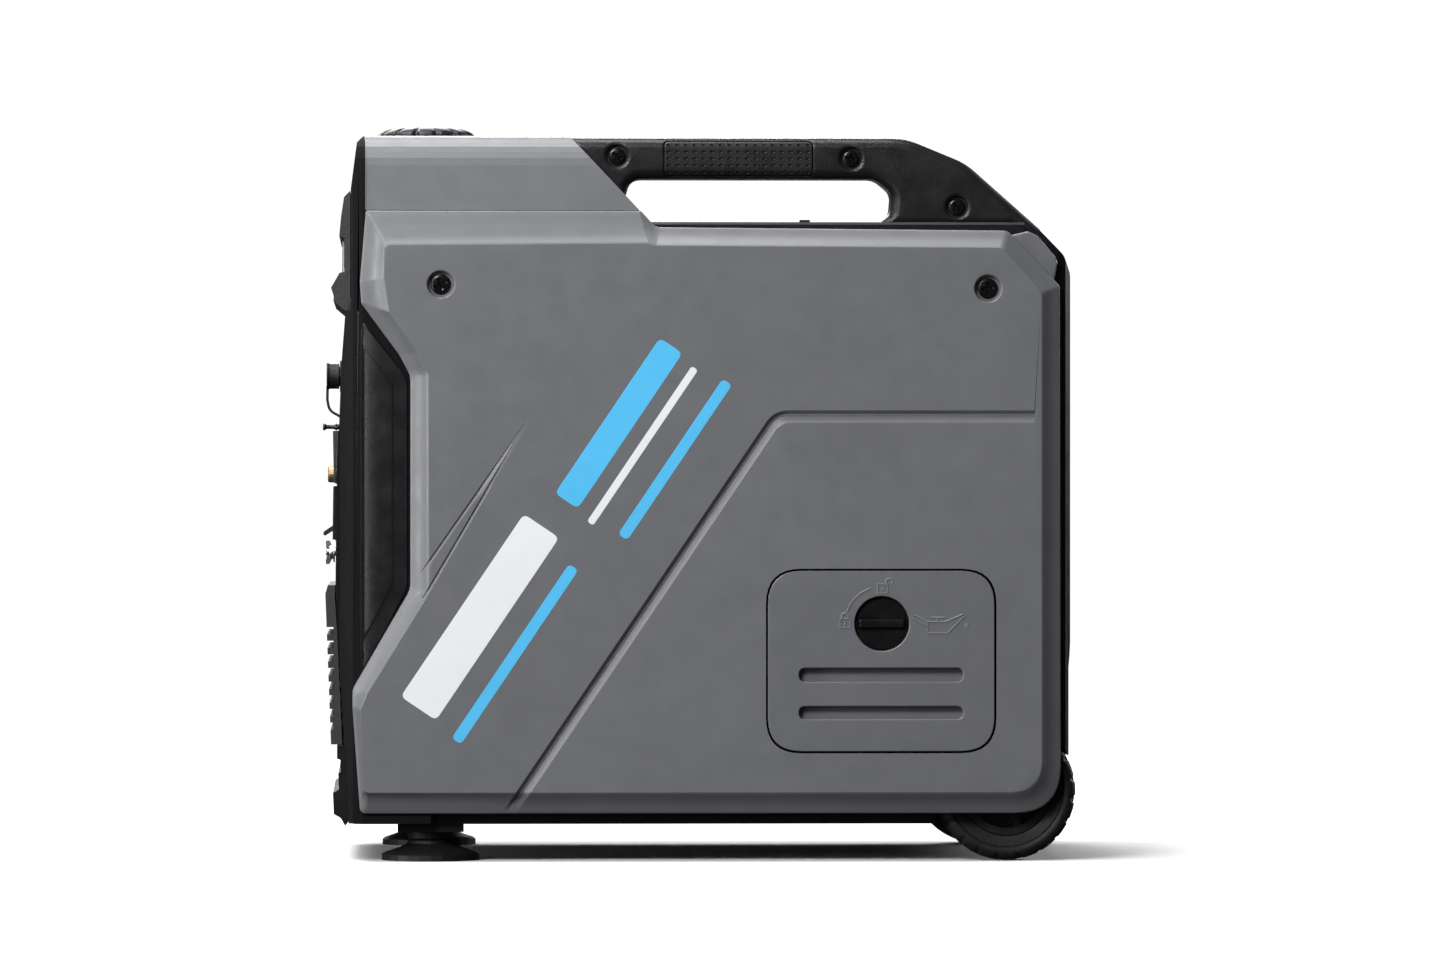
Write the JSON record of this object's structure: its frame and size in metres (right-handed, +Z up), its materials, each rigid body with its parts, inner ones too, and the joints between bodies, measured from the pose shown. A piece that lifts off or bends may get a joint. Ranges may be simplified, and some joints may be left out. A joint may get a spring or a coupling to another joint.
{
  "type": "portable generator",
  "caption": "Enclosed portable inverter generator with a carry handle, side oil door, front control panel, rear wheels and front feet.",
  "frame": {"origin": "on the floor below the middle of the machine's bounding box", "axes": "+Z up, -X is the control end, +X is the wheel and exhaust end, -Y is the right-hand side with the oil door"},
  "size_m": [0.6064, 0.44, 0.596],
  "materials": {
    "grey_plastic": "satin, finely textured",
    "black_plastic": "satin, finely textured",
    "trim_plastic": "coarse textured",
    "rubber": "moulded rubber",
    "tyre": "moulded rubber",
    "display_lens": "clear window over a grey display",
    "button_plastic": "glossy",
    "steel": "brushed",
    "dark_steel": "black oxide",
    "brass": "machined",
    "aluminium": "as cast",
    "cast_iron": "as cast"
  },
  "bodies": {
    "machine": {"top_cover": "grey_plastic", "right_side_panel": "grey_plastic", "left_side_panel": "grey_plastic", "base_tray": "black_plastic", "front_shell": "black_plastic", "rear_shell": "black_plastic", "rear_cover": "black_plastic", "deck_cover": "black_plastic", "right_handle_half": "black_plastic", "left_handle_half": "black_plastic", "fuel_tank": "black_plastic", "dc_socket": "black_plastic", "upper_outlet": "black_plastic", "lower_outlet": "black_plastic", "lower_skirt": "black_plastic", "blower_housing": "black_plastic", "air_filter_box": "black_plastic", "battery": "black_plastic", "control_panel": "trim_plastic", "intake_grille": "trim_plastic", "right_grip_pad": "rubber", "left_grip_pad": "rubber", "right_foot": "rubber", "left_foot": "rubber", "spark_plug": "rubber", "display_lens": "display_lens", "axle": "steel", "ground_terminal": "steel", "muffler": "steel", "right_front_screw": "dark_steel", "right_rear_screw": "dark_steel", "left_front_screw": "dark_steel", "left_rear_screw": "dark_steel", "front_handle_bolt": "dark_steel", "middle_handle_bolt": "dark_steel", "rear_handle_bolt": "dark_steel", "gas_inlet": "brass", "engine_block": "aluminium", "carburettor": "aluminium", "inverter_module": "aluminium", "cylinder_head": "cast_iron", "stator": "cast_iron"},
    "right_wheel": {"right_wheel_rim": "black_plastic", "right_tyre": "tyre"},
    "left_wheel": {"left_wheel_rim": "black_plastic", "left_tyre": "tyre"},
    "oil_door": {"oil_door": "grey_plastic"},
    "oil_door_knob": {"oil_door_knob": "black_plastic"},
    "fuel_cap_plug": {"fuel_cap_plug": "black_plastic"},
    "fuel_cap": {"fuel_cap": "black_plastic"},
    "start_button": {"start_button": "button_plastic"},
    "eco_switch": {"eco_switch": "black_plastic"},
    "dc_socket_cap": {"dc_socket_cap": "rubber"},
    "pull_knob": {"pull_knob": "black_plastic"},
    "upper_outlet_cover": {"upper_outlet_cover": "trim_plastic"},
    "lower_outlet_cover": {"lower_outlet_cover": "rubber"},
    "rotor": {"rotor_fan": "aluminium"},
    "oil_filler_cap": {"oil_filler_cap": "black_plastic"}
  },
  "joints": [
    {"name": "right_wheel_spin", "type": "hinge", "parent": "machine", "child": "right_wheel", "pos_m": [0.2472, -0.179, 0.056], "axis": [0, 1, 0], "continuous": true},
    {"name": "left_wheel_spin", "type": "hinge", "parent": "machine", "child": "left_wheel", "pos_m": [0.2472, 0.179, 0.056], "axis": [0, 1, 0], "continuous": true},
    {"name": "oil_door_hinge", "type": "hinge", "parent": "machine", "child": "oil_door", "pos_m": [0.1452, -0.2185, 0.0899], "axis": [1, 0, 0], "range_deg": [0, 75]},
    {"name": "oil_door_knob_turn", "type": "hinge", "parent": "oil_door", "child": "oil_door_knob", "pos_m": [0.1458, -0.2165, 0.1906], "axis": [0, 1, 0], "range_deg": [0, 90]},
    {"name": "fuel_cap_lift", "type": "slide", "parent": "machine", "child": "fuel_cap_plug", "axis": [0, 0, 1], "range_m": [0, 0.06]},
    {"name": "fuel_cap_turn", "type": "hinge", "parent": "fuel_cap_plug", "child": "fuel_cap", "pos_m": [-0.2183, 0, 0.59], "axis": [0, 0, 1], "range_deg": [0, 90]},
    {"name": "start_button_press", "type": "slide", "parent": "machine", "child": "start_button", "axis": [1, 0, 0], "range_m": [0, 0.002], "stiffness_N_per_m": 400},
    {"name": "eco_switch_rock", "type": "hinge", "parent": "machine", "child": "eco_switch", "pos_m": [-0.2845, 0.11, 0.487], "axis": [0, 1, 0], "range_deg": [-7, 7]},
    {"name": "dc_socket_cap_pull", "type": "slide", "parent": "machine", "child": "dc_socket_cap", "axis": [-1, 0, 0], "range_m": [0, 0.014]},
    {"name": "pull_knob_slide", "type": "slide", "parent": "machine", "child": "pull_knob", "axis": [-1, 0, 0], "range_m": [0, 0.012]},
    {"name": "upper_outlet_cover_hinge", "type": "hinge", "parent": "machine", "child": "upper_outlet_cover", "pos_m": [-0.2909, -0.095, 0.3452], "axis": [0, 1, 0], "range_deg": [0, 90]},
    {"name": "lower_outlet_cover_hinge", "type": "hinge", "parent": "machine", "child": "lower_outlet_cover", "pos_m": [-0.2926, -0.095, 0.3004], "axis": [0, 1, 0], "range_deg": [0, 90]},
    {"name": "rotor_spin", "type": "hinge", "parent": "machine", "child": "rotor", "pos_m": [0, 0, 0.142], "axis": [1, 0, 0], "continuous": true},
    {"name": "oil_filler_cap_turn", "type": "hinge", "parent": "machine", "child": "oil_filler_cap", "pos_m": [0.14, -0.116, 0.128], "axis": [0, 1, 0], "range_deg": [0, 360]}
  ]
}
